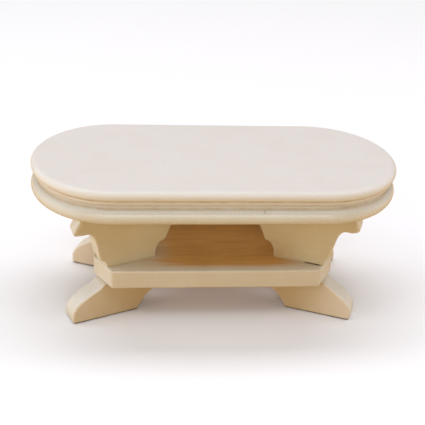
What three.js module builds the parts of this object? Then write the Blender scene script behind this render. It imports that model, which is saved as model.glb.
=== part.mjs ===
// Miniature oval dining table, dolls-house furniture, painted wood.
//
// Frame: millimetres, +Z up, origin on the floor under the middle of the table.
// X runs along the length of the oval top, Y runs across it, -Y is the front.
//
// Nothing on the table moves. It is eleven glued pieces: a two-board oval top,
// a shelf with clipped corners, four brackets between the shelf and the top,
// and four feet under the shelf.

import * as THREE from 'three';
import { mergeVertices } from 'three/addons/utils/BufferGeometryUtils.js';

// ---------------------------------------------------------------------------
// Driving dimensions, mm
// ---------------------------------------------------------------------------
const LENGTH = 90.0;              // overall length of the oval top
const WIDTH = 40.5;               // overall width of the oval top
const HEIGHT = 37.8;              // floor to table top

const TOP_UNDERSIDE = 29.05;      // underside of the lower board of the top
const TOP_JOINT = 33.7;           // glue line between the two boards of the top
const TOP_ARC_STEPS = 22;         // facets in each half-round end

const UPPER_BEAD_R = 1.28;        // small bead round the edge of the top board
const UPPER_INSET = 0.12;         // the top board is this much smaller all round
const FILLET_INSET = 0.82;        // flat fillet under the small bead
const FILLET_TOP = 35.28;
const FILLET_FOOT = 34.58;
const COVE_INSET = 1.70;          // depth of the cove between the two beads
const LOWER_BEAD_R = 2.05;        // large bead round the lower board

const SHELF_UNDERSIDE = 9.5;
const SHELF_THICKNESS = 4.8;
const SHELF_HALF_LENGTH = 29.95;  // to the short end edges
const SHELF_HALF_DEPTH = 15.6;    // to the long front and back edges
const SHELF_FRONT_CORNER_X = 25.45; // where the clipped corner meets the front edge
const SHELF_END_HALF = 8.4;       // half length of each end edge
const SHELF_CORNER_R = 0.9;
const SHELF_EDGE = 0.4;           // eased edge

const LEG_ANGLE = 22.3;           // degrees between each leg and the long axis
const LEG_THICKNESS = 5.1;
const LEG_EDGE = 0.4;             // eased edge

// ---------------------------------------------------------------------------
// Derived
// ---------------------------------------------------------------------------
const HALF_L = LENGTH / 2;
const HALF_W = WIDTH / 2;
const SPINE = HALF_L - HALF_W;    // half length of the straight part of the oval
const SHELF_TOP = SHELF_UNDERSIDE + SHELF_THICKNESS;
const RAD = Math.PI / 180;

// ---------------------------------------------------------------------------
// Materials: one cream paint, a little warmer on the legs
// ---------------------------------------------------------------------------
const paint = (color, roughness) =>
  new THREE.MeshStandardMaterial({ color, roughness, metalness: 0 });

function weld(geometry) {
  geometry.deleteAttribute('normal');
  geometry.deleteAttribute('uv');
  const merged = mergeVertices(geometry, 1e-5);
  // triangles that collapsed on the turning axis are dropped
  const index = merged.getIndex().array;
  const kept = [];
  for (let i = 0; i < index.length; i += 3) {
    const [a, b, c] = [index[i], index[i + 1], index[i + 2]];
    if (a !== b && b !== c && c !== a) kept.push(a, b, c);
  }
  merged.setIndex(kept);
  merged.computeVertexNormals();
  return merged;
}

// A turned profile stretched along X into an oval with straight sides: the
// columns of a LatheGeometry are shared between the two half-round ends.
function ovalBoard(profile) {
  const segments = 2 * TOP_ARC_STEPS + 2;
  const rows = profile.length;
  const geometry = new THREE.LatheGeometry(profile, segments);
  const position = geometry.getAttribute('position');
  for (let column = 0; column <= segments; column++) {
    const k = column % segments;
    const right = k <= TOP_ARC_STEPS;
    const step = right ? k : k - TOP_ARC_STEPS - 1;
    const angle = (right ? -90 : 90) + (180 * step) / TOP_ARC_STEPS;
    const shift = right ? SPINE : -SPINE;
    for (let row = 0; row < rows; row++) {
      const r = profile[row].x;
      position.setXYZ(
        column * rows + row,
        shift + r * Math.cos(angle * RAD),
        r * Math.sin(angle * RAD),
        profile[row].y,
      );
    }
  }
  return weld(geometry);
}

function arcPoints(cx, cy, r, fromDeg, toDeg, steps) {
  const points = [];
  for (let i = 0; i <= steps; i++) {
    const a = (fromDeg + ((toDeg - fromDeg) * i) / steps) * RAD;
    points.push(new THREE.Vector2(cx + r * Math.cos(a), cy + r * Math.sin(a)));
  }
  return points;
}

// Top board: flat face, small half-round bead, fillet, upper half of the cove.
function topBoardProfile() {
  const rim = HALF_W - UPPER_INSET;
  const beadAxis = HEIGHT - UPPER_BEAD_R;
  return [
    new THREE.Vector2(0, TOP_JOINT),
    new THREE.Vector2(HALF_W - COVE_INSET, TOP_JOINT),
    new THREE.Vector2(HALF_W - COVE_INSET + 0.12, TOP_JOINT + 0.36),
    new THREE.Vector2(HALF_W - COVE_INSET + 0.42, FILLET_FOOT - 0.10),
    new THREE.Vector2(HALF_W - FILLET_INSET - 0.06, FILLET_FOOT),
    new THREE.Vector2(HALF_W - FILLET_INSET, FILLET_FOOT + 0.08),
    new THREE.Vector2(HALF_W - FILLET_INSET, FILLET_TOP - 0.08),
    new THREE.Vector2(HALF_W - FILLET_INSET - 0.07, FILLET_TOP),
    ...arcPoints(rim - UPPER_BEAD_R, beadAxis, UPPER_BEAD_R, -66, 90, 9),
    new THREE.Vector2(0, HEIGHT),
  ];
}

// Lower board: large half-round bead, lower half of the cove.
function underBoardProfile() {
  const beadAxis = TOP_UNDERSIDE + LOWER_BEAD_R;
  return [
    new THREE.Vector2(0, TOP_UNDERSIDE),
    ...arcPoints(HALF_W - LOWER_BEAD_R, beadAxis, LOWER_BEAD_R, -90, 76, 11),
    new THREE.Vector2(HALF_W - COVE_INSET, TOP_JOINT - 0.30),
    new THREE.Vector2(HALF_W - COVE_INSET, TOP_JOINT),
    new THREE.Vector2(0, TOP_JOINT),
  ];
}

// Shelf: a rectangle with four clipped corners, every corner slightly rounded.
function shelfShape() {
  const quarter = [
    [SHELF_HALF_LENGTH, -SHELF_END_HALF],
    [SHELF_HALF_LENGTH, SHELF_END_HALF],
    [SHELF_FRONT_CORNER_X, SHELF_HALF_DEPTH],
    [-SHELF_FRONT_CORNER_X, SHELF_HALF_DEPTH],
    [-SHELF_HALF_LENGTH, SHELF_END_HALF],
    [-SHELF_HALF_LENGTH, -SHELF_END_HALF],
    [-SHELF_FRONT_CORNER_X, -SHELF_HALF_DEPTH],
    [SHELF_FRONT_CORNER_X, -SHELF_HALF_DEPTH],
  ].map(([x, y]) => new THREE.Vector2(x, y));
  const shape = new THREE.Shape();
  const n = quarter.length;
  for (let i = 0; i < n; i++) {
    const before = quarter[(i + n - 1) % n];
    const here = quarter[i];
    const after = quarter[(i + 1) % n];
    const inward = before.clone().sub(here).normalize();
    const outward = after.clone().sub(here).normalize();
    const start = here.clone().addScaledVector(inward, SHELF_CORNER_R);
    const end = here.clone().addScaledVector(outward, SHELF_CORNER_R);
    if (i === 0) shape.moveTo(start.x, start.y);
    else shape.lineTo(start.x, start.y);
    shape.quadraticCurveTo(here.x, here.y, end.x, end.y);
  }
  shape.closePath();
  return shape;
}

// Bracket outline in the plane of the leg: X is the distance from the middle of
// the table, Y is the height. A waisted board with an arm that reaches out
// under the rim of the top, and a stepped inner edge that leans inwards.
function bracketShape() {
  const s = new THREE.Shape();
  s.moveTo(17.1, SHELF_TOP);
  s.lineTo(30.2, SHELF_TOP);
  s.bezierCurveTo(31.1, 16.2, 31.7, 18.6, 32.0, 20.6);
  s.bezierCurveTo(32.3, 22.6, 32.9, 24.35, 34.4, 24.45);
  s.lineTo(35.8, 24.45);
  s.bezierCurveTo(36.9, 24.45, 37.5, 24.8, 37.6, 25.5);
  s.bezierCurveTo(37.7, 26.5, 36.6, 27.4, 36.2, TOP_UNDERSIDE);
  s.lineTo(9.9, TOP_UNDERSIDE);
  s.lineTo(14.4, 18.9);
  s.bezierCurveTo(14.7, 18.4, 15.4, 18.7, 15.9, 18.1);
  s.bezierCurveTo(16.7, 17.2, 17.0, 16.0, 17.1, SHELF_TOP);
  return s;
}

// Foot outline in the same plane: a sloping, slightly crowned top edge that
// ends in a rounded toe, a flat sole, and a stepped inner edge.
function footShape() {
  const s = new THREE.Shape();
  s.moveTo(21.9, 0);
  s.lineTo(37.6, 0);
  s.quadraticCurveTo(38.1, 0.0, 38.2, 0.6);
  s.bezierCurveTo(38.5, 2.2, 38.3, 3.2, 37.5, 4.3);
  s.bezierCurveTo(36.5, 5.6, 35.1, 6.4, 33.6, 7.3);
  s.bezierCurveTo(32.4, 8.0, 31.2, 8.8, 30.2, SHELF_UNDERSIDE);
  s.lineTo(17.1, SHELF_UNDERSIDE);
  s.lineTo(17.1, 6.5);
  s.bezierCurveTo(17.2, 5.3, 17.8, 4.7, 18.6, 4.3);
  s.bezierCurveTo(19.2, 4.0, 19.5, 3.9, 19.8, 3.4);
  s.lineTo(21.9, 0);
  return s;
}

function boardFromShape(shape, thickness, edge, curveSegments) {
  const geometry = new THREE.ExtrudeGeometry(shape, {
    depth: thickness - 2 * edge,
    steps: 1,
    curveSegments,
    bevelEnabled: true,
    bevelThickness: edge,
    bevelSize: edge,
    bevelOffset: -edge,
    bevelSegments: 1,
  });
  geometry.translate(0, 0, edge - thickness / 2);
  return weld(geometry);
}

// ---------------------------------------------------------------------------
// Assembly
// ---------------------------------------------------------------------------
const table = new THREE.Group();

function add(parent, name, geometry, material) {
  const mesh = new THREE.Mesh(geometry, material);
  mesh.name = name;
  parent.add(mesh);
  return mesh;
}

add(table, 'top_board', ovalBoard(topBoardProfile()), paint(0xe8ddd2, 0.42));
add(table, 'top_under_board', ovalBoard(underBoardProfile()), paint(0xe0d3bf, 0.45));

const shelf = add(
  table,
  'shelf_board',
  boardFromShape(shelfShape(), SHELF_THICKNESS, SHELF_EDGE, 4),
  paint(0xdccdb4, 0.5),
);
shelf.position.z = SHELF_UNDERSIDE + SHELF_THICKNESS / 2;

// The four legs stand on the diagonals of the shelf. Each one is a bracket and
// a foot in the same upright plane, which passes through the middle of the table.
const CORNERS = [
  ['front_left', -1, -1],
  ['front_right', 1, -1],
  ['rear_right', 1, 1],
  ['rear_left', -1, 1],
];

for (const [corner, sx, sy] of CORNERS) {
  const leg = new THREE.Group();
  leg.rotation.z = Math.atan2(
    sy * Math.sin(LEG_ANGLE * RAD),
    sx * Math.cos(LEG_ANGLE * RAD),
  );
  table.add(leg);
  const bracket = add(
    leg,
    `bracket_${corner}`,
    boardFromShape(bracketShape(), LEG_THICKNESS, LEG_EDGE, 6),
    paint(0xdccbb0, 0.5),
  );
  bracket.rotation.x = Math.PI / 2;
  const foot = add(
    leg,
    `foot_${corner}`,
    boardFromShape(footShape(), LEG_THICKNESS, LEG_EDGE, 6),
    paint(0xdccbb0, 0.5),
  );
  foot.rotation.x = Math.PI / 2;
}

export default table;
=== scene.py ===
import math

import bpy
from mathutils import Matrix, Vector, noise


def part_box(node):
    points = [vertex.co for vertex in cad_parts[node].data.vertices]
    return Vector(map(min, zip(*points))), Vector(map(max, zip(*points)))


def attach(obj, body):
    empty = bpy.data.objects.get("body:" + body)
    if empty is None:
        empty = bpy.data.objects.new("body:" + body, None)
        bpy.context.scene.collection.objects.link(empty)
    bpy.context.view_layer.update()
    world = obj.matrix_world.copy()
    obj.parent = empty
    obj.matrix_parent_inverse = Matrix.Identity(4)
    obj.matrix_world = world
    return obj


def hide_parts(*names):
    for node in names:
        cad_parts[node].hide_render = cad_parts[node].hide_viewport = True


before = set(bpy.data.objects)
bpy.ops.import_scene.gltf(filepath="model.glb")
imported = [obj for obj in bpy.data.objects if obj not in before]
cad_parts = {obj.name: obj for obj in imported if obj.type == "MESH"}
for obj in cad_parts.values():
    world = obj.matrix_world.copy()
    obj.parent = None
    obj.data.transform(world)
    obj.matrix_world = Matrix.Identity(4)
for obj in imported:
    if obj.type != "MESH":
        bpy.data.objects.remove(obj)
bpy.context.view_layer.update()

# Miniature oval dining table in cream painted wood. Each of the eleven glued
# boards of the CAD frame is rebuilt here as a finer mesh with soft, hand-eased
# edges and gets a painted-wood material. Lengths below are millimetres.

MM = 0.001

# ---------------------------------------------------------------------------
# Sizes that the frame gives
# ---------------------------------------------------------------------------


def node_box(name):
    lo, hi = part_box(name)
    return [v / MM for v in lo], [v / MM for v in hi]


top_lo, top_hi = node_box("top_board")
rim_lo, rim_hi = node_box("top_under_board")
shelf_lo, shelf_hi = node_box("shelf_board")

HEIGHT = top_hi[2]
JOINT = rim_hi[2]                       # glue line between the boards of the top
UNDERSIDE = rim_lo[2]
HALF_L, HALF_W = rim_hi[0], rim_hi[1]
SPINE = HALF_L - HALF_W                 # straight part of the oval, half length
SHELF_TOP, SHELF_BOTTOM = shelf_hi[2], shelf_lo[2]

UPPER_BEAD_R, UPPER_INSET = 1.28, 0.12
FILLET_INSET, FILLET_TOP, FILLET_FOOT = 0.82, 35.28, 34.58
COVE_INSET, LOWER_BEAD_R = 1.70, 2.05

SHELF_HALF_LENGTH, SHELF_HALF_DEPTH = shelf_hi[0], shelf_hi[1]
SHELF_FRONT_CORNER_X, SHELF_END_HALF = 25.45, 8.4

LEG_ANGLE, LEG_THICKNESS = math.radians(22.3), 5.1


# ---------------------------------------------------------------------------
# Curves in a plane
# ---------------------------------------------------------------------------
def bezier(a, b, c, d, n):
    out = []
    for i in range(1, n + 1):
        t = i / n
        u = 1 - t
        out.append(
            tuple(
                u * u * u * a[k] + 3 * u * u * t * b[k] + 3 * u * t * t * c[k] + t * t * t * d[k]
                for k in (0, 1)
            )
        )
    return out


def quad(a, b, c, n):
    out = []
    for i in range(1, n + 1):
        t = i / n
        u = 1 - t
        out.append(tuple(u * u * a[k] + 2 * u * t * b[k] + t * t * c[k] for k in (0, 1)))
    return out


def arc(cx, cy, r, a0, a1, n):
    out = []
    for i in range(n + 1):
        a = math.radians(a0 + (a1 - a0) * i / n)
        out.append((cx + r * math.cos(a), cy + r * math.sin(a)))
    return out


def resample(points, step, closed):
    """Points a given step apart along a line through the given points."""
    pts = list(points) + ([points[0]] if closed else [])
    lengths = [0.0]
    for p, q in zip(pts, pts[1:]):
        lengths.append(lengths[-1] + math.dist(p, q))
    total = lengths[-1]
    n = max(3, round(total / step))
    out, k = [], 0
    for i in range(n if closed else n + 1):
        s = total * i / n
        while k < len(pts) - 2 and lengths[k + 1] < s:
            k += 1
        span = lengths[k + 1] - lengths[k]
        t = 0 if span == 0 else (s - lengths[k]) / span
        p, q = pts[k], pts[k + 1]
        out.append((p[0] + (q[0] - p[0]) * t, p[1] + (q[1] - p[1]) * t))
    return out


def soften(points, reach, step, closed):
    """Rounds every corner of a line, as sanding and paint do: a Gaussian of that reach along it."""
    n = len(points)
    half = max(1, int(3 * reach / step))
    kernel = [math.exp(-0.5 * (j * step / reach) ** 2) for j in range(-half, half + 1)]
    out = []
    for i in range(n):
        sx = sy = sw = 0.0
        for j, w in zip(range(-half, half + 1), kernel):
            k = i + j
            if closed:
                k %= n
            elif k < 0 or k >= n:
                m = 0 if k < 0 else n - 1
                mirror = 2 * m - k
                mx, my = points[max(0, min(n - 1, mirror))]
                px, py = 2 * points[m][0] - mx, 2 * points[m][1] - my
                sx += px * w
                sy += py * w
                sw += w
                continue
            sx += points[k][0] * w
            sy += points[k][1] * w
            sw += w
        out.append((sx / sw, sy / sw))
    return out


def normals_and_bend(points, closed):
    """The unit normal to the right of the way along a line, and how much it turns left per mm."""
    n = len(points)
    normal, bend = [], []
    for i in range(n):
        a = points[(i - 1) % n] if closed or i > 0 else points[i]
        b = points[i]
        c = points[(i + 1) % n] if closed or i < n - 1 else points[i]
        tx, ty = c[0] - a[0], c[1] - a[1]
        length = math.hypot(tx, ty) or 1.0
        normal.append((ty / length, -tx / length))
        if a == b or b == c:
            bend.append(0.0)
            continue
        u = (b[0] - a[0], b[1] - a[1])
        v = (c[0] - b[0], c[1] - b[1])
        turn = math.atan2(u[0] * v[1] - u[1] * v[0], u[0] * v[0] + u[1] * v[1])
        bend.append(turn / (0.5 * (math.hypot(*u) + math.hypot(*v))))
    return normal, bend


def smoothstep(lo, hi, x):
    t = max(0.0, min(1.0, (x - lo) / (hi - lo)))
    return t * t * (3 - 2 * t)


# ---------------------------------------------------------------------------
# Meshes
# ---------------------------------------------------------------------------
def make_piece(name, verts, faces, paint_co, edge, hollow, material, board, other=None, sharp_deg=62):
    """A closed mesh from millimetre points, with what the paint reads: paint_co, the place on the
    board with X along its grain, edge, how far a point lies on a convex edge, for wear and a painted
    highlight, hollow, how sunken it is, for painted shade, other, how far the piece's second paint
    shows, and board, a number that gives each board its own grain."""
    mesh = bpy.data.meshes.new(name)
    mesh.from_pydata([(x * MM, y * MM, z * MM) for x, y, z in verts], [], faces)
    mesh.validate(clean_customdata=False)
    mesh.update()
    a = mesh.attributes.new("paint_co", "FLOAT_VECTOR", "POINT")
    a.data.foreach_set("vector", [c for p in paint_co for c in p])
    a = mesh.attributes.new("edge", "FLOAT", "POINT")
    a.data.foreach_set("value", edge)
    a = mesh.attributes.new("hollow", "FLOAT", "POINT")
    a.data.foreach_set("value", hollow)
    a = mesh.attributes.new("other", "FLOAT", "POINT")
    a.data.foreach_set("value", other or [0.0] * len(verts))
    a = mesh.attributes.new("board", "FLOAT", "POINT")
    a.data.foreach_set("value", [float(board)] * len(verts))
    mesh.polygons.foreach_set("use_smooth", [True] * len(mesh.polygons))
    mesh.set_sharp_from_angle(angle=math.radians(sharp_deg))
    mesh.materials.append(material)
    piece = bpy.data.objects.new(name, mesh)
    bpy.context.scene.collection.objects.link(piece)
    return piece


END_STEPS, SIDE_STEPS = 56, 26


def oval_columns():
    """(middle x, angle) of each column round the oval, anticlockwise."""
    cols = []
    for i in range(END_STEPS + 1):
        cols.append((SPINE, -90 + 180 * i / END_STEPS))
    for i in range(1, SIDE_STEPS):
        cols.append((SPINE - 2 * SPINE * i / SIDE_STEPS, 90))
    for i in range(END_STEPS + 1):
        cols.append((-SPINE, 90 + 180 * i / END_STEPS))
    for i in range(1, SIDE_STEPS):
        cols.append((-SPINE + 2 * SPINE * i / SIDE_STEPS, 270))
    return cols


def oval_board(name, rows, edge, hollow, material, seed, tremble):
    """A board from a profile of (distance from the spine, height), carried round the oval."""
    cols = oval_columns()
    n, m = len(cols), len(rows)
    verts, co, e, h = [], [], [], []
    shift = Vector((seed * 37.1, seed * 11.7, seed * 5.3))
    for (cx, deg) in cols:
        a = math.radians(deg)
        ca, sa = math.cos(a), math.sin(a)
        for j, (r, z) in enumerate(rows):
            x, y = cx + r * ca, r * sa
            # a hand-sanded board isn't perfectly even; it only ever falls short of its true size
            q = Vector((x, y, z)) * 0.16 + shift
            short = tremble * (0.5 + 0.5 * noise.noise(q))
            r2 = r - short * min(1.0, max(0.0, edge[j] + 0.25)) if r > 12 else r
            verts.append((cx + r2 * ca, r2 * sa, z))
            co.append((x, y, z))
            e.append(edge[j])
            h.append(hollow[j])
    faces = []
    for c in range(n):
        d = (c + 1) % n
        for j in range(m - 1):
            faces.append((c * m + j, d * m + j, d * m + j + 1, c * m + j + 1))
    faces.append(tuple(c * m for c in reversed(range(n))))
    faces.append(tuple(c * m + m - 1 for c in range(n)))
    return make_piece(name, verts, faces, co, e, h, material, seed)


def profile_marks(rows, reach):
    """How far each point of a profile lies on a convex edge, where wear and a painted highlight go, and how sunken it
    is, where painted shade goes, from how sharply it turns.
    """
    _, bend = normals_and_bend(rows, False)
    edge = [smoothstep(0.25, 2.6, b) for b in bend]
    hollow = [smoothstep(0.10, 2.4, -b) for b in bend]
    step = [math.dist(p, q) for p, q in zip(rows, rows[1:])]
    at = [0.0]
    for s in step:
        at.append(at[-1] + s)

    def spread(values, reach):
        out = []
        for i in range(len(values)):
            best = 0.0
            for k, v in enumerate(values):
                if v > 0:
                    best = max(best, v * math.exp(-((at[i] - at[k]) / reach) ** 2))
            out.append(best)
        return out

    return spread(edge, reach), spread(hollow, reach * 1.6)


def top_board_rows():
    rim = HALF_W - UPPER_INSET
    cove = [(HALF_W - COVE_INSET, JOINT)] + bezier(
        (HALF_W - COVE_INSET, JOINT),
        (HALF_W - COVE_INSET + 0.02, JOINT + 0.50),
        (HALF_W - COVE_INSET + 0.34, FILLET_FOOT - 0.02),
        (HALF_W - FILLET_INSET, FILLET_FOOT),
        12,
    )
    line = cove + [(HALF_W - FILLET_INSET, FILLET_TOP)]
    line += arc(rim - UPPER_BEAD_R, HEIGHT - UPPER_BEAD_R, UPPER_BEAD_R, -66, 90, 40)
    line += [(rim - UPPER_BEAD_R - 2.0, HEIGHT)]
    line = [(HALF_W - COVE_INSET - 1.5, JOINT)] + line
    fine = resample(line, 0.02, False)
    fine = soften(fine, 0.055, 0.02, False)
    rows = resample(fine, 0.115, False)
    return [(r, max(JOINT, min(HEIGHT, z))) for r, z in rows]


def rim_board_rows():
    mid = (HALF_W - LOWER_BEAD_R, UNDERSIDE + LOWER_BEAD_R)
    line = [(HALF_W - LOWER_BEAD_R - 1.6, UNDERSIDE)]
    line += arc(mid[0], mid[1], LOWER_BEAD_R, -90, 66, 56)
    line += bezier(line[-1], (18.72, 33.10), (18.56, 33.34), (HALF_W - COVE_INSET, JOINT), 14)
    line += [(HALF_W - COVE_INSET - 1.2, JOINT)]
    fine = resample(line, 0.02, False)
    fine = soften(fine, 0.055, 0.02, False)
    rows = resample(fine, 0.125, False)
    return [(r, max(UNDERSIDE, min(JOINT, z))) for r, z in rows]


def with_flats(rows, edge, hollow, first, last):
    """Adds the flat faces' rings, from near the spine outwards, to a profile's rows."""
    inner = [1.2, 5.0, 9.0, 12.5, 15.2]
    z0, z1 = rows[0][1], rows[-1][1]
    a = [(r, z0) for r in inner if r < rows[0][0] - 0.6]
    b = [(r, z1) for r in reversed(inner) if r < rows[-1][0] - 0.6]
    return (
        a + rows + b,
        [0.0] * len(a) + edge + [0.0] * len(b),
        [first] * len(a) + hollow + [last] * len(b),
    )


def shelf_outline():
    pts = [
        (SHELF_HALF_LENGTH, -SHELF_END_HALF),
        (SHELF_HALF_LENGTH, SHELF_END_HALF),
        (SHELF_FRONT_CORNER_X, SHELF_HALF_DEPTH),
        (-SHELF_FRONT_CORNER_X, SHELF_HALF_DEPTH),
        (-SHELF_HALF_LENGTH, SHELF_END_HALF),
        (-SHELF_HALF_LENGTH, -SHELF_END_HALF),
        (-SHELF_FRONT_CORNER_X, -SHELF_HALF_DEPTH),
        (SHELF_FRONT_CORNER_X, -SHELF_HALF_DEPTH),
    ]
    fine = resample(pts, 0.08, True)
    return resample(soften(fine, 0.30, 0.08, True), 0.42, True)


# The outer side of a bracket, from the shelf up to the top: each of the two seen in front was cut
# by hand and is a little different, the two behind are the mean of them.
BRACKET_SIDES = {
    "front_left": (
        ((31.4, 16.0), (31.9, 18.2), (32.3, 20.6)), ((32.6, 22.6), (33.1, 24.25), (34.4, 24.35)),
        (35.4, 24.3), ((37.1, 24.1), (38.05, 24.2), (38.1, 25.2)), ((38.1, 26.2), (36.7, 27.2), (36.1, None)),
    ),
    "front_right": (
        ((31.0, 16.2), (31.4, 18.6), (31.8, 20.4)), ((32.2, 22.4), (32.7, 24.75), (34.2, 24.8)),
        (35.4, 24.8), ((36.6, 24.8), (37.4, 25.1), (37.45, 25.9)), ((37.5, 26.8), (36.9, 27.8), (36.6, None)),
    ),
    "mean": (
        ((31.1, 16.2), (31.7, 18.6), (32.0, 20.6)), ((32.3, 22.6), (32.9, 24.35), (34.4, 24.45)),
        (35.8, 24.45), ((36.9, 24.45), (37.5, 24.8), (37.6, 25.5)), ((37.7, 26.5), (36.6, 27.4), (36.2, None)),
    ),
}


def bracket_outline(corner):
    t, u = SHELF_TOP, UNDERSIDE
    wall, bend, flat, under_nose, nose = BRACKET_SIDES.get(corner, BRACKET_SIDES["mean"])
    s = [(17.1, t), (30.2, t)]
    s += bezier(s[-1], *wall, 18)
    s += bezier(s[-1], *bend, 16)
    s += [flat]
    s += bezier(s[-1], *under_nose, 14)
    s += bezier(s[-1], nose[0], nose[1], (nose[2][0], u), 14)
    s += [(9.9, u), (14.4, 18.9)]
    s += bezier((14.4, 18.9), (14.7, 18.4), (15.4, 18.7), (15.9, 18.1), 10)
    s += bezier((15.9, 18.1), (16.7, 17.2), (17.0, 16.0), (17.1, t), 12)[:-1]
    return s


# How far the toe and the inner end of a front foot, also cut by hand, lie outside the mean, mm.
FOOT_ENDS = {"front_left": (0.45, -0.30), "front_right": (-0.30, -0.85)}


def foot_outline(corner):
    t = SHELF_BOTTOM
    s = [(21.9, 0.0), (37.6, 0.0)]
    s += quad((37.6, 0.0), (38.1, 0.0), (38.2, 0.6), 8)
    s += bezier((38.2, 0.6), (38.5, 2.2), (38.3, 3.2), (37.5, 4.3), 16)
    s += bezier((37.5, 4.3), (36.5, 5.6), (35.1, 6.4), (33.6, 7.3), 16)
    s += bezier((33.6, 7.3), (32.4, 8.0), (31.2, 8.8), (30.2, t), 12)
    s += [(17.1, t), (17.1, 6.5)]
    s += bezier((17.1, 6.5), (17.2, 5.3), (17.8, 4.7), (18.6, 4.3), 12)
    s += bezier((18.6, 4.3), (19.2, 4.0), (19.5, 3.9), (19.8, 3.4), 10)
    toe, inner = FOOT_ENDS.get(corner, (0.0, 0.0))
    return [
        (x + toe * smoothstep(32, 37, x) + inner * (1 - smoothstep(19, 27, x)) * (1 - 0.5 * z / t), z)
        for x, z in s
    ]


def slab(outline, thickness, ease, seed, tremble=0.25):
    """A board of that outline with eased edges. ease(point) is the radius wanted at a point.
    Returns points (along, across, up), faces, and for each point how far it is on an eased edge
    and how far on the narrow wall between the faces."""
    n = len(outline)
    normal, bend = normals_and_bend(outline, True)
    radius = []
    for i, p in enumerate(outline):
        r = ease(p) * (1 + tremble * noise.noise(Vector((p[0] * 0.55, p[1] * 0.55, seed * 9.7))))
        if bend[i] > 0:  # a corner that turns tightly has room for a small radius only
            r = min(r, 0.72 / bend[i])
        radius.append(r)
    for _ in range(3):
        radius = [
            min(radius[i], (radius[i - 1] + 2 * radius[i] + radius[(i + 1) % n]) / 4 + 0.02)
            for i in range(n)
        ]
    half = thickness / 2
    arcs = [90 * k / 6 for k in range(7)]
    rings = []  # (inset in radii, sideways in radii, extra inset, edge mark)
    for a in arcs:
        c, s = math.cos(math.radians(a)), math.sin(math.radians(a))
        rings.append((1 - c, 1 - s, 0.0, 0.35 + 0.65 * math.sin(math.radians(2 * a))))
    rings.append((1.0, 0.0, 0.10, 0.18))
    rings.append((1.0, 0.0, 0.34, 0.0))
    verts, edge, wall, ring_start = [], [], [], []

    def add_ring(inset_r, side_r, extra, mark, sign):
        ring_start.append(len(verts))
        for i, p in enumerate(outline):
            r = radius[i]
            spare = extra * min(1.0, r / 0.3 + 0.3)
            tight = max(bend[(i + k) % n] for k in range(-3, 4))
            if tight > 0:  # at a tight corner the inner rings must not fold over
                spare = min(spare, max(0.0, 0.85 / tight - r) * (0.3 if extra < 0.2 else 1.0))
            d = inset_r * r + spare
            verts.append(
                (
                    p[0] - normal[i][0] * d,
                    sign * (half - side_r * r),
                    p[1] - normal[i][1] * d,
                )
            )
            edge.append(mark * min(1.0, r / 0.25))
            wall.append(side_r if extra == 0 else 0.0)

    for ring in reversed(rings):
        add_ring(*ring, 1)
    for w in (0.82, 0.45, 0.0, -0.45, -0.82):
        ring_start.append(len(verts))
        for i, p in enumerate(outline):
            verts.append((p[0], w * (half - radius[i]), p[1]))
            edge.append(0.12 if abs(w) > 0.8 else 0.0)
            wall.append(1.0)
    for ring in rings:
        add_ring(*ring, -1)
    faces = []
    for a, b in zip(ring_start, ring_start[1:]):
        for i in range(n):
            j = (i + 1) % n
            faces.append((a + i, b + i, b + j, a + j))
    first, last = ring_start[0], ring_start[-1]
    faces.append(tuple(first + i for i in range(n)))
    faces.append(tuple(last + i for i in reversed(range(n))))
    return verts, faces, edge, wall


def outward(verts, faces):
    """Turns all faces round if the mesh's volume comes out negative."""
    volume = 0.0
    for f in faces:
        a = Vector(verts[f[0]])
        for k in range(1, len(f) - 1):
            volume += a.dot(Vector(verts[f[k]]).cross(Vector(verts[f[k + 1]])))
    return faces if volume > 0 else [tuple(reversed(f)) for f in faces]


# ---------------------------------------------------------------------------
# Materials: satin cream paint on fine-grained wood
# ---------------------------------------------------------------------------
class Tree:
    def __init__(self, material):
        material.use_nodes = True
        self.nodes, self.links = material.node_tree.nodes, material.node_tree.links
        self.nodes.clear()

    def add(self, kind, **values):
        node = self.nodes.new(kind)
        for k, v in values.items():
            setattr(node, k, v)
        return node

    def join(self, source, target):
        self.links.new(source, target)

    def maths(self, operation, a, b=None, clamp=False):
        node = self.add("ShaderNodeMath", operation=operation, use_clamp=clamp)
        for socket, value in zip(node.inputs, (a, b)):
            if value is None:
                continue
            if isinstance(value, (int, float)):
                socket.default_value = value
            else:
                self.join(value, socket)
        return node.outputs[0]

    def noise(self, vector, scale, detail=2.0, rough=0.5, stretch=None, shift=(0, 0, 0), kind="noise"):
        mapping = self.add("ShaderNodeMapping")
        mapping.inputs["Location"].default_value = shift
        mapping.inputs["Scale"].default_value = stretch or (1, 1, 1)
        self.join(vector, mapping.inputs["Vector"])
        node = self.add("ShaderNodeTexNoise")
        node.inputs["Scale"].default_value = scale
        node.inputs["Detail"].default_value = detail
        node.inputs["Roughness"].default_value = rough
        self.join(mapping.outputs[0], node.inputs["Vector"])
        return node.outputs["Fac"]

    def range(self, value, a, b, c, d, smooth=True):
        node = self.add("ShaderNodeMapRange")
        node.interpolation_type = "SMOOTHSTEP" if smooth else "LINEAR"
        self.join(value, node.inputs["Value"])
        for name, x in zip(("From Min", "From Max", "To Min", "To Max"), (a, b, c, d)):
            node.inputs[name].default_value = x
        return node.outputs["Result"]

    def mix(self, factor, a, b, blend="MIX"):
        node = self.add("ShaderNodeMix", data_type="RGBA", blend_type=blend)
        for socket, value in ((node.inputs["Factor"], factor), (node.inputs[6], a), (node.inputs[7], b)):
            if isinstance(value, (int, float)):
                socket.default_value = value
            elif isinstance(value, (tuple, list)):
                socket.default_value = (*value, 1.0)
            else:
                self.join(value, socket)
        return node.outputs[2]


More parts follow.
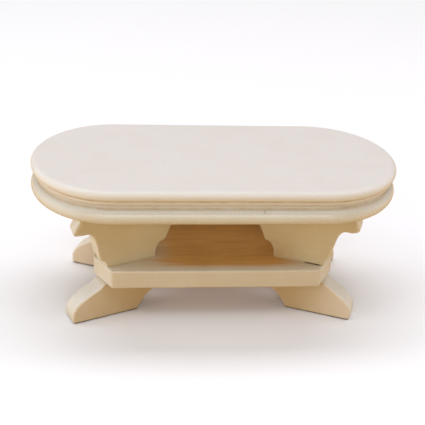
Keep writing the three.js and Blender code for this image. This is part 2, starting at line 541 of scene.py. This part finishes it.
def painted_wood(name, paint, shade_and_speck_brown, worn_and_highlight, roughness, streak=1.0, mottle=1.0, rub_and_highlight=0.75, hollow_shade_strength=0.85,
                 sole_shadow=False, joint_shade=(), second=None, gap=None, shade=None, blister=None, light_and_shade_along=None, coat=0.10,
                 raised=0.10, lit_ends=None):
    """Satin paint over wood. paint is its colour, shade_and_speck_brown the warm brown of the painted
    shade in hollows, along joints and round a corner, which also tints the dust specks, and
    worn_and_highlight the colour of convex edges, partly wear and partly a painted highlight.
    mottle, rub_and_highlight and hollow_shade_strength say how much of each shows. joint_shade lists
    the heights of joints along which painted shade darkens the paint, second is the paint where the
    mesh's "other" mark is 1, gap an open joint (x from, x to, z), raised how much the grain shows
    through the second paint, lit_ends a painted light that whitens the paint towards either end
    (x from, x to, tone), shade a painted shade round a corner (x, z, reach, amount), blister a bubble
    in the paint (x, y, z) and light_and_shade_along painted light and shade that run along the board
    (x from, x to, tone there, tone here), all in mm on the board."""
    material = bpy.data.materials.new(name)
    t = Tree(material)
    out = t.add("ShaderNodeOutputMaterial")
    bsdf = t.add("ShaderNodeBsdfPrincipled")
    t.join(bsdf.outputs[0], out.inputs["Surface"])
    place = t.add("ShaderNodeAttribute", attribute_name="paint_co").outputs["Vector"]
    edge = t.add("ShaderNodeAttribute", attribute_name="edge").outputs["Fac"]
    hollow = t.add("ShaderNodeAttribute", attribute_name="hollow").outputs["Fac"]
    board = t.add("ShaderNodeAttribute", attribute_name="board").outputs["Fac"]
    apart = t.add("ShaderNodeSeparateXYZ")
    t.join(place, apart.inputs[0])
    X, Y, Z = apart.outputs

    # every board is cut from another stretch of the same wood
    stretch = t.add("ShaderNodeCombineXYZ")
    t.join(t.maths("MULTIPLY", board, 43.0), stretch.inputs[0])
    t.join(t.maths("MULTIPLY", board, 17.0), stretch.inputs[1])
    shifted = t.add("ShaderNodeVectorMath", operation="ADD")
    t.join(place, shifted.inputs[0])
    t.join(stretch.outputs[0], shifted.inputs[1])
    co = shifted.outputs[0]

    # slow drifts of tone, and brush marks and raised grain that run along the board
    cloud = t.noise(co, 0.11, 3.0, 0.55)
    brush = t.noise(co, 1.0, 4.0, 0.62, stretch=(0.055, 1.35, 1.35), shift=(3, 9, 4))
    grain = t.noise(co, 1.0, 3.0, 0.7, stretch=(0.16, 4.2, 4.2), shift=(31, 5, 17))
    peel = t.noise(co, 2.6, 2.0, 0.5, shift=(7, 2, 3))
    patch = t.noise(co, 0.42, 3.0, 0.6, shift=(13, 21, 8))

    def tone(c, r, g, b, amount=1.0):
        return tuple(v * (1 + (f - 1) * amount) for v, f in zip(c, (r, g, b)))

    drift = t.range(cloud, 0.34, 0.68, 0.0, 1.0)
    colour = t.mix(drift, tone(paint, 0.955, 0.93, 0.885, mottle), tone(paint, 1.02, 1.022, 1.035, mottle))
    colour = t.mix(
        t.maths("MULTIPLY", t.range(brush, 0.40, 0.72, 0.0, 1.0), 0.30 * streak),
        colour, tone(paint, 0.93, 0.90, 0.84),
    )
    colour = t.mix(
        t.maths("MULTIPLY", t.range(grain, 0.55, 0.80, 0.0, 1.0), 0.16 * streak),
        colour, tone(paint, 0.86, 0.80, 0.68),
    )

    if light_and_shade_along:  # painted light and shade along the board: darker at the inner end, in the shade under the shelf, lighter towards the toe
        x0, x1, under_shade, full = light_and_shade_along
        along = t.range(X, x0, x1, 0.0, 1.0)
        colour = t.mix(1.0, colour, t.mix(along, under_shade, full), blend="MULTIPLY")

    if lit_ends:  # painted light: the paint is whiter on the clipped corners and end faces, where more light falls
        x0, x1, more = lit_ends
        along = t.range(t.maths("ABSOLUTE", X), x0, x1, 0.0, 1.0)
        colour = t.mix(1.0, colour, t.mix(along, (1.0, 1.0, 1.0), more), blend="MULTIPLY")

    if second:
        other = t.add("ShaderNodeAttribute", attribute_name="other").outputs["Fac"]
        ragged = t.maths("ADD", other, t.maths("MULTIPLY", t.maths("SUBTRACT", brush, 0.5), 0.7))
        other = t.maths(
            "MULTIPLY", t.range(ragged, 0.10, 0.90, 0.0, 1.0), t.range(other, 0.0, 0.12, 0.0, 1.0)
        )
        lower = t.mix(drift, tone(second, 0.95, 0.93, 0.89), tone(second, 1.04, 1.04, 1.04))
        lines = t.noise(co, 1.0, 3.0, 0.6, stretch=(0.07, 2.1, 2.1), shift=(2, 27, 11))
        lines = t.maths("MULTIPLY", t.range(lines, 0.40, 0.66, 0.0, 1.0), raised)
        lower = t.mix(lines, lower, tone(second, 0.74, 0.64, 0.50))
        colour = t.mix(other, colour, lower)

    if shade:  # painted shade: a darker patch round a corner that gets less light
        x, z, reach, most = shade
        dx, dz = t.maths("SUBTRACT", X, x), t.maths("SUBTRACT", Z, z)
        away = t.maths("ADD", t.maths("MULTIPLY", dx, dx), t.maths("MULTIPLY", dz, dz))
        away = t.maths("SQRT", away)
        dark = t.maths("MULTIPLY", t.range(away, 0.0, reach, most, 0.0), t.range(patch, 0.25, 0.7, 0.7, 1.0))
        colour = t.mix(dark, colour, shade_and_speck_brown)

    # painted shade: warm brown darkening in the hollows of the profile and along the joints between boards
    sunk = hollow
    for z in joint_shade:
        away = t.maths("ABSOLUTE", t.maths("SUBTRACT", Z, z))
        sunk = t.maths("MAXIMUM", sunk, t.range(away, 0.05, 0.85, 0.55, 0.0))
    amount = t.maths("MULTIPLY", sunk, t.range(patch, 0.28, 0.68, 0.55 * hollow_shade_strength, hollow_shade_strength))
    colour = t.mix(amount, colour, shade_and_speck_brown)

    # edge wear, here and there down to the priming, together with a painted highlight along the same convex edges
    rubbed_and_highlit = t.maths("MULTIPLY", edge, t.range(patch, 0.44, 0.62, 0.13 * rub_and_highlight, rub_and_highlight))
    colour = t.mix(rubbed_and_highlit, colour, worn_and_highlight)

    # a few fine specks of dust under the paint
    speck = t.add("ShaderNodeTexVoronoi", feature="F1")
    speck.inputs["Scale"].default_value = 0.30
    t.join(co, speck.inputs["Vector"])
    dot = t.range(speck.outputs["Distance"], 0.012, 0.030, 1.0, 0.0)
    colour = t.mix(t.maths("MULTIPLY", dot, 0.45), colour, tone(shade_and_speck_brown, 0.9, 0.9, 0.9))

    if gap:  # the glue joint stands open for a few millimetres
        x0, x1, z = gap
        middle, half = (x0 + x1) / 2, (x1 - x0) / 2
        along = t.range(t.maths("ABSOLUTE", t.maths("SUBTRACT", X, middle)), half * 0.55, half, 1.0, 0.0)
        high = t.range(t.maths("SUBTRACT", Z, z), 0.20, 0.42, 1.0, 0.0)
        colour = t.mix(t.maths("MULTIPLY", along, high), colour, (0.07, 0.035, 0.012))

    if sole_shadow:  # painted shadow: the foot's lowest edge is darkened where it stands on the floor
        low = t.range(Z, 0.18, 0.62, 1.0, 0.0)
        low = t.maths("MULTIPLY", low, t.range(patch, 0.30, 0.60, 0.70, 1.0))
        colour = t.mix(low, colour, (0.105, 0.055, 0.022))
        # and painted shade: the narrow wall at its inner end, in shade under the shelf, is darkened to brown
        inner = t.maths("MULTIPLY", t.range(X, 21.0, 23.0, 1.0, 0.0), t.range(other, 0.4, 1.0, 0.0, 0.7))
        colour = t.mix(inner, colour, (0.24, 0.14, 0.06))

    height = t.maths("MULTIPLY", brush, 0.55 * streak)
    height = t.maths("ADD", height, t.maths("MULTIPLY", grain, 0.22 * streak))
    height = t.maths("ADD", height, t.maths("MULTIPLY", peel, 0.20))
    height = t.maths("ADD", height, t.maths("MULTIPLY", patch, 0.60))
    height = t.maths("ADD", height, t.maths("MULTIPLY", dot, 0.25))

    if blister:  # one small bubble in the paint, with a thin tan ring
        gone = t.add("ShaderNodeVectorMath", operation="DISTANCE")
        t.join(place, gone.inputs[0])
        gone.inputs[1].default_value = blister
        far = gone.outputs["Value"]
        ring = t.maths("MULTIPLY", t.range(far, 0.22, 0.42, 0.0, 1.0), t.range(far, 0.46, 0.72, 1.0, 0.0))
        side = t.range(t.maths("SUBTRACT", X, blister[0]), -0.55, 0.35, 1.0, 0.15)
        colour = t.mix(t.maths("MULTIPLY", t.maths("MULTIPLY", ring, side), 0.8), colour, (0.40, 0.31, 0.21))
        height = t.maths("ADD", height, t.range(far, 0.0, 0.60, 3.0, 0.0))

    t.join(colour, bsdf.inputs["Base Color"])
    rough = t.range(peel, 0.3, 0.7, roughness - 0.035, roughness + 0.05, smooth=False)
    rough = t.maths("ADD", rough, t.maths("MULTIPLY", amount, 0.12))
    t.join(rough, bsdf.inputs["Roughness"])
    bsdf.inputs["IOR"].default_value = 1.48
    bsdf.inputs["Coat Weight"].default_value = coat
    bsdf.inputs["Coat Roughness"].default_value = 0.22

    bump = t.add("ShaderNodeBump")
    bump.inputs["Strength"].default_value = 0.32
    bump.inputs["Distance"].default_value = 0.00006
    t.join(height, bump.inputs["Height"])
    t.join(bump.outputs[0], bsdf.inputs["Normal"])
    return material


# One cream paint as it looks in each place: the top's is the base colour and the leg walls keep about the same, while
# the rim, shelf, bracket and foot colours are darker, warmer copies of it, painted shade on faces that get less light.
TOP_PAINT = (0.765, 0.750, 0.720)
RIM_SHADED_PAINT = (0.705, 0.695, 0.640)
SHELF_SHADED_PAINT = (0.675, 0.612, 0.495)
BRACKET_SHADED_PAINT = (0.61, 0.525, 0.355)
FOOT_SHADED_PAINT = (0.65, 0.555, 0.395)
LEG_WALL_PAINT = (0.76, 0.755, 0.72)
# brown of the painted shade in hollows, joints and a corner, also used for the dust specks
SHADE_AND_SPECK_BROWN = (0.46, 0.30, 0.13)
# colour of worn edges, which also serves as a painted highlight along them
WORN_AND_HIGHLIGHT = (0.82, 0.77, 0.69)
# painted shade: the warm brown of the shelf where the top shades it
UNDER_TOP_SHADE_PAINT = (0.655, 0.365, 0.110)

paint_top = painted_wood(
    "cream_paint_top", TOP_PAINT, SHADE_AND_SPECK_BROWN, WORN_AND_HIGHLIGHT, 0.30, streak=0.7, mottle=0.22, rub_and_highlight=0.0, hollow_shade_strength=0.80, coat=0.15
)
paint_rim = painted_wood(
    "cream_paint_rim", RIM_SHADED_PAINT, SHADE_AND_SPECK_BROWN, WORN_AND_HIGHLIGHT, 0.28,
    mottle=0.45, rub_and_highlight=0.08, hollow_shade_strength=0.85, blister=(10.0, -19.37, 32.78), coat=0.75,
)
# the shelf: painted shade in its middle under the top and painted light, whiter paint, on its clipped corners
paint_shelf = painted_wood(
    "cream_paint_shelf", SHELF_SHADED_PAINT, SHADE_AND_SPECK_BROWN, WORN_AND_HIGHLIGHT, 0.42, mottle=0.7, rub_and_highlight=0.22, second=UNDER_TOP_SHADE_PAINT,
    raised=0.5, lit_ends=(SHELF_FRONT_CORNER_X - 0.1, SHELF_FRONT_CORNER_X + 0.6, (1.07, 1.13, 1.24)),
)
# The legs show the darker face colour, painted shade, with the lighter wall colour as their second paint: lit and
# shaded copies of one cream.
leg_paints = dict(mottle=0.7, rub_and_highlight=0.55, second=LEG_WALL_PAINT)
paint_bracket = painted_wood(
    "cream_paint_bracket", BRACKET_SHADED_PAINT, SHADE_AND_SPECK_BROWN, WORN_AND_HIGHLIGHT, 0.42, joint_shade=(SHELF_TOP, UNDERSIDE), **leg_paints
)
# a front bracket with painted shade round its inner bottom corner, and an open joint
paint_bracket_corner_shade = painted_wood(
    "cream_paint_bracket_open_joint", BRACKET_SHADED_PAINT, SHADE_AND_SPECK_BROWN, WORN_AND_HIGHLIGHT, 0.42, joint_shade=(SHELF_TOP, UNDERSIDE),
    gap=(24.4, 29.6, SHELF_TOP), shade=(17.6, 15.0, 10.0, 0.72), **leg_paints
)
def foot_paint(name, inner, outer):
    return painted_wood(
        name, FOOT_SHADED_PAINT, SHADE_AND_SPECK_BROWN, WORN_AND_HIGHLIGHT, 0.42, sole_shadow=True, joint_shade=(SHELF_BOTTOM,),
        light_and_shade_along=(21.0, 37.0, inner, outer), **leg_paints
    )


# Each front foot's tone from inner end to toe: painted light and shade, darker in the shade under the shelf and lighter
# at the toe, most of all on the right foot.
foot_paints = {
    "front_left": foot_paint("cream_paint_foot_left", (0.90, 0.83, 0.72), (1.04, 1.06, 1.14)),
    "front_right": foot_paint("cream_paint_foot_right", (0.88, 0.79, 0.66), (1.17, 1.24, 1.48)),
}
# painted light: the rear foot is painted lighter all over, as light from the left would make it
paint_foot_rear = foot_paint("cream_paint_foot_rear", (1.02, 1.00, 0.97), (1.24, 1.33, 1.64))

# ---------------------------------------------------------------------------
# The eleven boards
# ---------------------------------------------------------------------------
rows = top_board_rows()
edge, hollow = profile_marks(rows, 0.16)
rows, edge, hollow = with_flats(rows, edge, hollow, 0.0, 0.0)
top = oval_board("oval_top", rows, edge, hollow, paint_top, 1, 0.03)
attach(top, "root")
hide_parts("top_board")

rows = rim_board_rows()
edge, hollow = profile_marks(rows, 0.16)
rows, edge, hollow = with_flats(rows, edge, hollow, 0.0, 0.0)
rim = oval_board("oval_rim", rows, edge, hollow, paint_rim, 2, 0.03)
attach(rim, "root")
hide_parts("top_under_board")

verts, faces, edge, _ = slab(shelf_outline(), SHELF_TOP - SHELF_BOTTOM, lambda p: 0.36, 3)
# Its flat faces get rings of their own, so that painted shade can brown them towards the middle, where they are in
# shade.
count = len(shelf_outline())
faces = faces[:-2]
# painted shade: how far the shaded brown shows, most in the middle of the shelf's flat faces
under_shade = [0.0] * len(verts)
for start, turned in ((0, False), (len(verts) - count, True)):
    outer = list(range(start, start + count))
    border = verts[start:start + count]
    for keep in (0.97, 0.93, 0.88, 0.82, 0.75, 0.66, 0.55, 0.40, 0.25, 0.10):
        inner = list(range(len(verts), len(verts) + count))
        verts += [(x * (0.35 + 0.65 * keep), y, z * keep) for x, y, z in border]
        edge += [0.0] * count
        under_shade += [
            smoothstep(0.01, 0.30, 1 - abs(z) / SHELF_HALF_DEPTH)
            * (1 - 0.86 * (smoothstep(11, 27, x) if x > 0 else smoothstep(6, 21, -x)))
            for x, y, z in verts[-count:]
        ]
        for k in range(count):
            j = (k + 1) % count
            face = (outer[k], outer[j], inner[j], inner[k])
            faces.append(face[::-1] if turned else face)
        outer = inner
    faces.append(tuple(outer[::-1]) if turned else tuple(outer))
mid = (SHELF_TOP + SHELF_BOTTOM) / 2
verts = [(x, z, mid + y) for x, y, z in verts]
faces = outward(verts, faces)
shelf = make_piece("shelf", verts, faces, verts, edge, [0.0] * len(verts), paint_shelf, 3, other=under_shade)
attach(shelf, "root")
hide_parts("shelf_board")


# The clipped corners of the shelf were sanded after gluing, and the brackets' outer bottom
# corners with them: this is the plane they were sanded to, for the corner at +X +Y.
CLIP_NORMAL = Vector((SHELF_HALF_DEPTH - SHELF_END_HALF, SHELF_HALF_LENGTH - SHELF_FRONT_CORNER_X)).normalized()
CLIP_AT = CLIP_NORMAL.dot(Vector((SHELF_HALF_LENGTH, SHELF_END_HALF)))


def sanded(x, y, z, way, signs):
    """A bracket's point after that sanding, and how much was taken off along the board, mm."""
    off = CLIP_NORMAL.dot(Vector((x * signs[0], y * signs[1]))) - (CLIP_AT - 0.16)
    off = max(0.0, off) / CLIP_NORMAL.dot(Vector((abs(way[0]), abs(way[1]))))
    off = max(off, (x * signs[0] - (SHELF_HALF_LENGTH - 0.16)) / abs(way[0]))
    off *= 1 - smoothstep(SHELF_TOP + 0.2, SHELF_TOP + 2.6, z)
    return (x - way[0] * off, y - way[1] * off, z), off


def leg_board(name, outline, glue_heights, corner, signs, seed, material, node):
    sx, sy = signs
    fine = resample(outline, 0.06, True)
    line = resample(soften(fine, 0.13, 0.06, True), 0.30, True)
    bracket = SHELF_TOP in glue_heights
    nose = {"front_left": 1.05, "front_right": 0.75}.get(corner, 0.85)

    def ease(p):
        near = min(abs(p[1] - z) for z in glue_heights)
        full = 0.30 if p[1] < 0.05 else 0.42
        if bracket:
            full += (nose - full) * smoothstep(35.4, 36.8, p[0])
        else:
            full += 0.20 * smoothstep(35.5, 37.2, p[0]) * smoothstep(0.3, 1.5, p[1])
        return 0.06 + (full - 0.06) * smoothstep(0.02, 0.9, near)

    verts, faces, edge, wall = slab(line, LEG_THICKNESS, ease, seed)
    if corner == "front_left":  # its nose is cut a little askew, longer on the front face
        verts = [
            (x - 0.9 * smoothstep(35.3, 37.6, x) * (0.5 - y / LEG_THICKNESS) * bracket, y, z)
            for x, y, z in verts
        ]
    co = list(verts)
    ax, ay = sx * math.cos(LEG_ANGLE), sy * math.sin(LEG_ANGLE)
    verts = [(x * ax - y * ay, x * ay + y * ax, z) for x, y, z in verts]
    if bracket:
        for i, p in enumerate(verts):
            verts[i], off = sanded(*p, (ax, ay), signs)
            if edge[i] > 0.05:
                wall[i] = max(wall[i], smoothstep(0.02, 0.30, off))
    faces = outward(verts, faces)
    piece = make_piece(name, verts, faces, co, edge, [0.0] * len(verts), material, seed, other=wall)
    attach(piece, "root")
    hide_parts(node)
    return piece


CORNERS = (
    ("front_left", (-1, -1)),
    ("front_right", (1, -1)),
    ("rear_right", (1, 1)),
    ("rear_left", (-1, 1)),
)
for i, (corner, signs) in enumerate(CORNERS):
    leg_board(
        "bracket_painted_" + corner, bracket_outline(corner), (SHELF_TOP, UNDERSIDE), corner, signs,
        4 + i, paint_bracket_corner_shade if corner == "front_right" else paint_bracket, "bracket_" + corner,
    )
    leg_board(
        "foot_painted_" + corner, foot_outline(corner), (SHELF_BOTTOM,), corner, signs,
        8 + i, foot_paints.get(corner, paint_foot_rear), "foot_" + corner,
    )

# ---------------------------------------------------------------------------
# Stage, light and camera
# ---------------------------------------------------------------------------
scene = bpy.context.scene
scene.view_settings.view_transform = "Standard"

floor_mesh = bpy.data.meshes.new("floor")
R, N = 4.0, 64
floor_mesh.from_pydata(
    [(R * math.cos(2 * math.pi * i / N), R * math.sin(2 * math.pi * i / N), 0.0) for i in range(N)],
    [],
    [tuple(range(N))],
)
floor = bpy.data.objects.new("floor", floor_mesh)
floor_material = bpy.data.materials.new("pale_floor")
# The floor shows as a plain pale grey, and sends up the warm light of a wooden surface.
t = Tree(floor_material)
shown = t.add("ShaderNodeBsdfDiffuse")
shown.inputs["Color"].default_value = (0.92, 0.95, 0.985, 1)
sent = t.add("ShaderNodeBsdfDiffuse", name="sent")
sent.inputs["Color"].default_value = (0.61, 0.39, 0.15, 1)
ray = t.add("ShaderNodeLightPath")
# Far from the table it runs out into the same plain tone as the backdrop, with no horizon.
BACKDROP = (0.93, 0.94, 0.965)
distant = t.add("ShaderNodeEmission")
distant.inputs["Color"].default_value = (*BACKDROP, 1)
length = t.add("ShaderNodeVectorMath", operation="LENGTH")
t.join(t.add("ShaderNodeNewGeometry").outputs["Position"], length.inputs[0])
pale = t.add("ShaderNodeMixShader")
t.join(t.range(length.outputs["Value"], 0.16, 0.55, 0.0, 1.0), pale.inputs[0])
t.join(shown.outputs[0], pale.inputs[1])
t.join(distant.outputs[0], pale.inputs[2])
either = t.add("ShaderNodeMixShader")
t.join(ray.outputs["Is Camera Ray"], either.inputs[0])
t.join(sent.outputs[0], either.inputs[1])
t.join(pale.outputs[0], either.inputs[2])
floor_out = t.add("ShaderNodeOutputMaterial")
t.join(either.outputs[0], floor_out.inputs["Surface"])
floor_mesh.materials.append(floor_material)
scene.collection.objects.link(floor)


def soft_light(name, location, target, size, power, colour, shine=True):
    lamp = bpy.data.lights.new(name, "AREA")
    lamp.shape = "RECTANGLE"
    lamp.size, lamp.size_y = size
    lamp.energy = power
    lamp.color = colour
    o = bpy.data.objects.new(name, lamp)
    o.location = location
    o.rotation_euler = (Vector(target) - Vector(location)).to_track_quat("-Z", "Y").to_euler()
    o.visible_camera = False
    o.visible_glossy = shine
    scene.collection.objects.link(o)
    return o


soft_light("overhead", (0.0, 0.20, 0.62), (0, 0, 0.02), (0.9, 0.20), 2.66, (1.0, 0.97, 1.03), shine=False)
soft_light("key", (0.0, -0.20, 0.62), (0, 0, 0.02), (0.9, 0.20), 1.0, (1.0, 0.97, 1.03), shine=False)
soft_light("left", (-0.62, -0.08, 0.20), (0, 0, 0.02), (0.5, 0.34), 2.3, (1.0, 1.0, 1.0), shine=False)
soft_light("right", (0.62, -0.04, 0.20), (0, 0, 0.02), (0.5, 0.34), 1.65, (1.0, 0.94, 0.91), shine=False)
soft_light("front", (-0.05, -0.62, 0.34), (0, 0, 0.02), (0.6, 0.2), 1.02, (1.0, 0.99, 1.0))
soft_light("front_low", (-0.05, -0.66, 0.10), (0, 0, 0.02), (0.8, 0.2), 0.68, (1.0, 0.92, 0.62))
soft_light("back", (0.0, 0.66, 0.10), (0, 0, 0.02), (0.8, 0.2), 1.25, (1.0, 0.92, 0.70), shine=False)

world = bpy.data.worlds.new("studio")
scene.world = world
t = Tree(world)
dim = t.add("ShaderNodeBackground")  # the light that comes from the rest of the room
dim.inputs["Color"].default_value = (1.0, 0.82, 0.60, 1)
dim.inputs["Strength"].default_value = 0.12
plain = t.add("ShaderNodeBackground")  # what the camera sees behind the table
plain.inputs["Color"].default_value = (*BACKDROP, 1)
plain.inputs["Strength"].default_value = 1.0
seen = t.add("ShaderNodeMixShader")
t.join(t.add("ShaderNodeLightPath").outputs["Is Camera Ray"], seen.inputs[0])
t.join(dim.outputs[0], seen.inputs[1])
t.join(plain.outputs[0], seen.inputs[2])
t.join(seen.outputs[0], t.add("ShaderNodeOutputWorld").inputs["Surface"])

# The camera of the photograph: a little left of centre, looking 28 degrees down.
azimuth, elevation, roll = math.radians(-6.86), math.radians(28.43), math.radians(3.29)
distance, target = 0.22829, Vector((-0.000111, 0.0, 0.022035))
back = Vector((
    math.sin(azimuth) * math.cos(elevation),
    -math.cos(azimuth) * math.cos(elevation),
    math.sin(elevation),
))
right = (-back).cross(Vector((0, 0, 1))).normalized()
up = right.cross(-back)
r2 = right * math.cos(roll) + up * math.sin(roll)
u2 = up * math.cos(roll) - right * math.sin(roll)
camera_data = bpy.data.cameras.new("camera")
camera_data.sensor_width = 36.0
camera_data.lens = 76.235
camera_data.clip_start, camera_data.clip_end = 0.01, 50.0
camera = bpy.data.objects.new("camera", camera_data)
m = Matrix((r2, u2, back)).transposed().to_4x4()
m.translation = target + back * distance
camera.matrix_world = m
scene.collection.objects.link(camera)
scene.camera = camera
